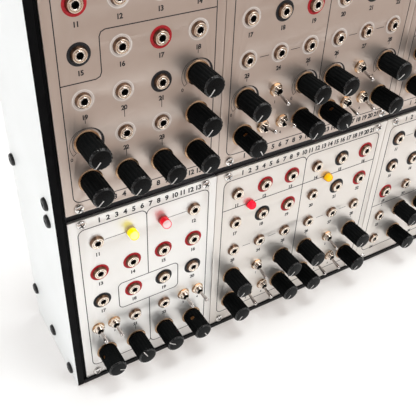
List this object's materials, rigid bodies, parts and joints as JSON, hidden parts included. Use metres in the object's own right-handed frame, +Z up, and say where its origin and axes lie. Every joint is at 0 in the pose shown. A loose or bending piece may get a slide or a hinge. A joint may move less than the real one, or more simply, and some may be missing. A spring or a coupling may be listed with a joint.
{
  "type": "modular synthesizer",
  "caption": "Modular synthesizer: patch-jack panels with turning knobs and tilting toggle switches, in a slim upright metal case with flat side cheeks.",
  "frame": {"origin": "centre of the footprint on the surface the case stands on", "axes": "+X to the right seen from the front, +Y from the front panels to the back of the case, +Z up"},
  "size_m": [0.3276, 0.0894, 0.2698],
  "materials": {
    "shell": "black powder coat",
    "cheek": "white laminate with a dark core",
    "rail": "black anodised extrusion",
    "panel": "fine satin, printed in black",
    "knob": "satin black with a white pointer",
    "lever": "polished"
  },
  "bodies": {
    "case": {"case_shell": "shell", "left_cheek": "cheek", "right_cheek": "cheek", "lower_rail": "rail", "middle_rail": "rail", "upper_rail": "rail", "upper_left_module": "panel", "upper_middle_module": "panel", "upper_right_module": "panel", "lower_left_module": "panel", "lower_middle_module": "panel", "lower_right_module": "panel"},
    "upper_left_knob_r3c4": {"upper_left_knob_r3c4": "knob"},
    "upper_left_knob_r4c1": {"upper_left_knob_r4c1": "knob"},
    "upper_left_knob_r4c4": {"upper_left_knob_r4c4": "knob"},
    "upper_left_knob_r5c1": {"upper_left_knob_r5c1": "knob"},
    "upper_left_knob_r5c2": {"upper_left_knob_r5c2": "knob"},
    "upper_left_knob_r5c3": {"upper_left_knob_r5c3": "knob"},
    "upper_left_knob_r5c4": {"upper_left_knob_r5c4": "knob"},
    "upper_middle_knob_r4c1": {"upper_middle_knob_r4c1": "knob"},
    "upper_middle_toggle_r4c2": {"upper_middle_toggle_r4c2": "lever"},
    "upper_middle_knob_r4c3": {"upper_middle_knob_r4c3": "knob"},
    "upper_middle_knob_r4c4": {"upper_middle_knob_r4c4": "knob"},
    "upper_middle_toggle_r4c5": {"upper_middle_toggle_r4c5": "lever"},
    "upper_middle_knob_r4c6": {"upper_middle_knob_r4c6": "knob"},
    "upper_middle_knob_r5c1": {"upper_middle_knob_r5c1": "knob"},
    "upper_middle_toggle_r5c2_left": {"upper_middle_toggle_r5c2_left": "lever"},
    "upper_middle_toggle_r5c2_right": {"upper_middle_toggle_r5c2_right": "lever"},
    "upper_middle_knob_r5c3": {"upper_middle_knob_r5c3": "knob"},
    "upper_middle_knob_r5c4": {"upper_middle_knob_r5c4": "knob"},
    "upper_middle_toggle_r5c5_left": {"upper_middle_toggle_r5c5_left": "lever"},
    "upper_middle_toggle_r5c5_right": {"upper_middle_toggle_r5c5_right": "lever"},
    "upper_middle_knob_r5c6": {"upper_middle_knob_r5c6": "knob"},
    "upper_right_knob_r4c1": {"upper_right_knob_r4c1": "knob"},
    "upper_right_knob_r5c1": {"upper_right_knob_r5c1": "knob"},
    "lower_left_toggle_r4c1_left": {"lower_left_toggle_r4c1_left": "lever"},
    "lower_left_toggle_r4c1_right": {"lower_left_toggle_r4c1_right": "lever"},
    "lower_left_toggle_r4c4_left": {"lower_left_toggle_r4c4_left": "lever"},
    "lower_left_toggle_r4c4_right": {"lower_left_toggle_r4c4_right": "lever"},
    "lower_left_knob_r5c1": {"lower_left_knob_r5c1": "knob"},
    "lower_left_knob_r5c2": {"lower_left_knob_r5c2": "knob"},
    "lower_left_knob_r5c3": {"lower_left_knob_r5c3": "knob"},
    "lower_left_knob_r5c4": {"lower_left_knob_r5c4": "knob"},
    "lower_middle_knob_r4c1": {"lower_middle_knob_r4c1": "knob"},
    "lower_middle_toggle_r4c2": {"lower_middle_toggle_r4c2": "lever"},
    "lower_middle_knob_r4c3": {"lower_middle_knob_r4c3": "knob"},
    "lower_middle_knob_r4c4": {"lower_middle_knob_r4c4": "knob"},
    "lower_middle_toggle_r4c5": {"lower_middle_toggle_r4c5": "lever"},
    "lower_middle_knob_r4c6": {"lower_middle_knob_r4c6": "knob"},
    "lower_middle_knob_r5c1": {"lower_middle_knob_r5c1": "knob"},
    "lower_middle_toggle_r5c2_left": {"lower_middle_toggle_r5c2_left": "lever"},
    "lower_middle_toggle_r5c2_right": {"lower_middle_toggle_r5c2_right": "lever"},
    "lower_middle_knob_r5c3": {"lower_middle_knob_r5c3": "knob"},
    "lower_middle_knob_r5c4": {"lower_middle_knob_r5c4": "knob"},
    "lower_middle_toggle_r5c5_left": {"lower_middle_toggle_r5c5_left": "lever"},
    "lower_middle_toggle_r5c5_right": {"lower_middle_toggle_r5c5_right": "lever"},
    "lower_middle_knob_r5c6": {"lower_middle_knob_r5c6": "knob"},
    "lower_right_knob_r4c2": {"lower_right_knob_r4c2": "knob"},
    "lower_right_knob_r4c3": {"lower_right_knob_r4c3": "knob"},
    "lower_right_knob_r5c2": {"lower_right_knob_r5c2": "knob"}
  },
  "joints": [
    {"name": "upper_left_knob_r3c4_turn", "type": "hinge", "parent": "case", "child": "upper_left_knob_r3c4", "pos_m": [-0.08113, -0.0355, 0.20173], "axis": [0, -1, 0], "range_deg": [-296, 4]},
    {"name": "upper_left_knob_r4c1_turn", "type": "hinge", "parent": "case", "child": "upper_left_knob_r4c1", "pos_m": [-0.14209, -0.0355, 0.17887], "axis": [0, -1, 0], "range_deg": [-291, 9]},
    {"name": "upper_left_knob_r4c4_turn", "type": "hinge", "parent": "case", "child": "upper_left_knob_r4c4", "pos_m": [-0.08113, -0.0355, 0.17887], "axis": [0, -1, 0], "range_deg": [-293, 7]},
    {"name": "upper_left_knob_r5c1_turn", "type": "hinge", "parent": "case", "child": "upper_left_knob_r5c1", "pos_m": [-0.14209, -0.0355, 0.15601], "axis": [0, -1, 0], "range_deg": [-287, 13]},
    {"name": "upper_left_knob_r5c2_turn", "type": "hinge", "parent": "case", "child": "upper_left_knob_r5c2", "pos_m": [-0.12177, -0.0355, 0.15601], "axis": [0, -1, 0], "range_deg": [-291, 9]},
    {"name": "upper_left_knob_r5c3_turn", "type": "hinge", "parent": "case", "child": "upper_left_knob_r5c3", "pos_m": [-0.10145, -0.0355, 0.15601], "axis": [0, -1, 0], "range_deg": [-291, 9]},
    {"name": "upper_left_knob_r5c4_turn", "type": "hinge", "parent": "case", "child": "upper_left_knob_r5c4", "pos_m": [-0.08113, -0.0355, 0.15601], "axis": [0, -1, 0], "range_deg": [-291, 9]},
    {"name": "upper_middle_knob_r4c1_turn", "type": "hinge", "parent": "case", "child": "upper_middle_knob_r4c1", "pos_m": [-0.05065, -0.0355, 0.17887], "axis": [0, -1, 0], "range_deg": [-295, 5]},
    {"name": "upper_middle_toggle_r4c2_tilt", "type": "hinge", "parent": "case", "child": "upper_middle_toggle_r4c2", "pos_m": [-0.03033, -0.035, 0.17957], "axis": [-1, 0, 0], "range_deg": [0, 26]},
    {"name": "upper_middle_knob_r4c3_turn", "type": "hinge", "parent": "case", "child": "upper_middle_knob_r4c3", "pos_m": [-0.01001, -0.0355, 0.17887], "axis": [0, -1, 0], "range_deg": [-291, 9]},
    {"name": "upper_middle_knob_r4c4_turn", "type": "hinge", "parent": "case", "child": "upper_middle_knob_r4c4", "pos_m": [0.01031, -0.0355, 0.17887], "axis": [0, -1, 0], "range_deg": [-286, 14]},
    {"name": "upper_middle_toggle_r4c5_tilt", "type": "hinge", "parent": "case", "child": "upper_middle_toggle_r4c5", "pos_m": [0.03063, -0.035, 0.17957], "axis": [-1, 0, 0], "range_deg": [0, 26]},
    {"name": "upper_middle_knob_r4c6_turn", "type": "hinge", "parent": "case", "child": "upper_middle_knob_r4c6", "pos_m": [0.05095, -0.0355, 0.17887], "axis": [0, -1, 0], "range_deg": [-282, 18]},
    {"name": "upper_middle_knob_r5c1_turn", "type": "hinge", "parent": "case", "child": "upper_middle_knob_r5c1", "pos_m": [-0.05065, -0.0355, 0.15601], "axis": [0, -1, 0], "range_deg": [0, 300]},
    {"name": "upper_middle_toggle_r5c2_left_tilt", "type": "hinge", "parent": "case", "child": "upper_middle_toggle_r5c2_left", "pos_m": [-0.03683, -0.035, 0.15781], "axis": [-1, 0, 0], "range_deg": [-26, 0]},
    {"name": "upper_middle_toggle_r5c2_right_tilt", "type": "hinge", "parent": "case", "child": "upper_middle_toggle_r5c2_right", "pos_m": [-0.02383, -0.035, 0.15781], "axis": [-1, 0, 0], "range_deg": [-26, 0]},
    {"name": "upper_middle_knob_r5c3_turn", "type": "hinge", "parent": "case", "child": "upper_middle_knob_r5c3", "pos_m": [-0.01001, -0.0355, 0.15601], "axis": [0, -1, 0], "range_deg": [-300, 0]},
    {"name": "upper_middle_knob_r5c4_turn", "type": "hinge", "parent": "case", "child": "upper_middle_knob_r5c4", "pos_m": [0.01031, -0.0355, 0.15601], "axis": [0, -1, 0], "range_deg": [-2, 298]},
    {"name": "upper_middle_toggle_r5c5_left_tilt", "type": "hinge", "parent": "case", "child": "upper_middle_toggle_r5c5_left", "pos_m": [0.02413, -0.035, 0.15781], "axis": [-1, 0, 0], "range_deg": [0, 26]},
    {"name": "upper_middle_toggle_r5c5_right_tilt", "type": "hinge", "parent": "case", "child": "upper_middle_toggle_r5c5_right", "pos_m": [0.03713, -0.035, 0.15781], "axis": [-1, 0, 0], "range_deg": [0, 26]},
    {"name": "upper_middle_knob_r5c6_turn", "type": "hinge", "parent": "case", "child": "upper_middle_knob_r5c6", "pos_m": [0.05095, -0.0355, 0.15601], "axis": [0, -1, 0], "range_deg": [-291, 9]},
    {"name": "upper_right_knob_r4c1_turn", "type": "hinge", "parent": "case", "child": "upper_right_knob_r4c1", "pos_m": [0.08143, -0.0355, 0.17887], "axis": [0, -1, 0], "range_deg": [-291, 9]},
    {"name": "upper_right_knob_r5c1_turn", "type": "hinge", "parent": "case", "child": "upper_right_knob_r5c1", "pos_m": [0.08143, -0.0355, 0.15601], "axis": [0, -1, 0], "range_deg": [-291, 9]},
    {"name": "lower_left_toggle_r4c1_left_tilt", "type": "hinge", "parent": "case", "child": "lower_left_toggle_r4c1_left", "pos_m": [-0.14629, -0.035, 0.04622], "axis": [-1, 0, 0], "range_deg": [-13, 13]},
    {"name": "lower_left_toggle_r4c1_right_tilt", "type": "hinge", "parent": "case", "child": "lower_left_toggle_r4c1_right", "pos_m": [-0.13589, -0.035, 0.04622], "axis": [-1, 0, 0], "range_deg": [-13, 13]},
    {"name": "lower_left_toggle_r4c4_left_tilt", "type": "hinge", "parent": "case", "child": "lower_left_toggle_r4c4_left", "pos_m": [-0.08733, -0.035, 0.04622], "axis": [-1, 0, 0], "range_deg": [-13, 13]},
    {"name": "lower_left_toggle_r4c4_right_tilt", "type": "hinge", "parent": "case", "child": "lower_left_toggle_r4c4_right", "pos_m": [-0.07693, -0.035, 0.04622], "axis": [-1, 0, 0], "range_deg": [-13, 13]},
    {"name": "lower_left_knob_r5c1_turn", "type": "hinge", "parent": "case", "child": "lower_left_knob_r5c1", "pos_m": [-0.14209, -0.0355, 0.02266], "axis": [0, -1, 0], "range_deg": [-30, 270]},
    {"name": "lower_left_knob_r5c2_turn", "type": "hinge", "parent": "case", "child": "lower_left_knob_r5c2", "pos_m": [-0.12177, -0.0355, 0.02266], "axis": [0, -1, 0], "range_deg": [-177, 123]},
    {"name": "lower_left_knob_r5c3_turn", "type": "hinge", "parent": "case", "child": "lower_left_knob_r5c3", "pos_m": [-0.10145, -0.0355, 0.02266], "axis": [0, -1, 0], "range_deg": [-205, 95]},
    {"name": "lower_left_knob_r5c4_turn", "type": "hinge", "parent": "case", "child": "lower_left_knob_r5c4", "pos_m": [-0.08113, -0.0355, 0.02266], "axis": [0, -1, 0], "range_deg": [0, 300]},
    {"name": "lower_middle_knob_r4c1_turn", "type": "hinge", "parent": "case", "child": "lower_middle_knob_r4c1", "pos_m": [-0.05065, -0.0355, 0.04552], "axis": [0, -1, 0], "range_deg": [-291, 9]},
    {"name": "lower_middle_toggle_r4c2_tilt", "type": "hinge", "parent": "case", "child": "lower_middle_toggle_r4c2", "pos_m": [-0.03033, -0.035, 0.04622], "axis": [-1, 0, 0], "range_deg": [0, 26]},
    {"name": "lower_middle_knob_r4c3_turn", "type": "hinge", "parent": "case", "child": "lower_middle_knob_r4c3", "pos_m": [-0.01001, -0.0355, 0.04552], "axis": [0, -1, 0], "range_deg": [-291, 9]},
    {"name": "lower_middle_knob_r4c4_turn", "type": "hinge", "parent": "case", "child": "lower_middle_knob_r4c4", "pos_m": [0.01031, -0.0355, 0.04552], "axis": [0, -1, 0], "range_deg": [-291, 9]},
    {"name": "lower_middle_toggle_r4c5_tilt", "type": "hinge", "parent": "case", "child": "lower_middle_toggle_r4c5", "pos_m": [0.03063, -0.035, 0.04622], "axis": [-1, 0, 0], "range_deg": [0, 26]},
    {"name": "lower_middle_knob_r4c6_turn", "type": "hinge", "parent": "case", "child": "lower_middle_knob_r4c6", "pos_m": [0.05095, -0.0355, 0.04552], "axis": [0, -1, 0], "range_deg": [-291, 9]},
    {"name": "lower_middle_knob_r5c1_turn", "type": "hinge", "parent": "case", "child": "lower_middle_knob_r5c1", "pos_m": [-0.05065, -0.0355, 0.02266], "axis": [0, -1, 0], "range_deg": [-291, 9]},
    {"name": "lower_middle_toggle_r5c2_left_tilt", "type": "hinge", "parent": "case", "child": "lower_middle_toggle_r5c2_left", "pos_m": [-0.03683, -0.035, 0.02446], "axis": [-1, 0, 0], "range_deg": [0, 26]},
    {"name": "lower_middle_toggle_r5c2_right_tilt", "type": "hinge", "parent": "case", "child": "lower_middle_toggle_r5c2_right", "pos_m": [-0.02383, -0.035, 0.02446], "axis": [-1, 0, 0], "range_deg": [0, 26]},
    {"name": "lower_middle_knob_r5c3_turn", "type": "hinge", "parent": "case", "child": "lower_middle_knob_r5c3", "pos_m": [-0.01001, -0.0355, 0.02266], "axis": [0, -1, 0], "range_deg": [-291, 9]},
    {"name": "lower_middle_knob_r5c4_turn", "type": "hinge", "parent": "case", "child": "lower_middle_knob_r5c4", "pos_m": [0.01031, -0.0355, 0.02266], "axis": [0, -1, 0], "range_deg": [-291, 9]},
    {"name": "lower_middle_toggle_r5c5_left_tilt", "type": "hinge", "parent": "case", "child": "lower_middle_toggle_r5c5_left", "pos_m": [0.02413, -0.035, 0.02446], "axis": [-1, 0, 0], "range_deg": [0, 26]},
    {"name": "lower_middle_toggle_r5c5_right_tilt", "type": "hinge", "parent": "case", "child": "lower_middle_toggle_r5c5_right", "pos_m": [0.03713, -0.035, 0.02446], "axis": [-1, 0, 0], "range_deg": [0, 26]},
    {"name": "lower_middle_knob_r5c6_turn", "type": "hinge", "parent": "case", "child": "lower_middle_knob_r5c6", "pos_m": [0.05095, -0.0355, 0.02266], "axis": [0, -1, 0], "range_deg": [-291, 9]},
    {"name": "lower_right_knob_r4c2_turn", "type": "hinge", "parent": "case", "child": "lower_right_knob_r4c2", "pos_m": [0.10175, -0.0355, 0.04552], "axis": [0, -1, 0], "range_deg": [-291, 9]},
    {"name": "lower_right_knob_r4c3_turn", "type": "hinge", "parent": "case", "child": "lower_right_knob_r4c3", "pos_m": [0.12207, -0.0355, 0.04552], "axis": [0, -1, 0], "range_deg": [-291, 9]},
    {"name": "lower_right_knob_r5c2_turn", "type": "hinge", "parent": "case", "child": "lower_right_knob_r5c2", "pos_m": [0.10175, -0.0355, 0.02266], "axis": [0, -1, 0], "range_deg": [-291, 9]}
  ]
}
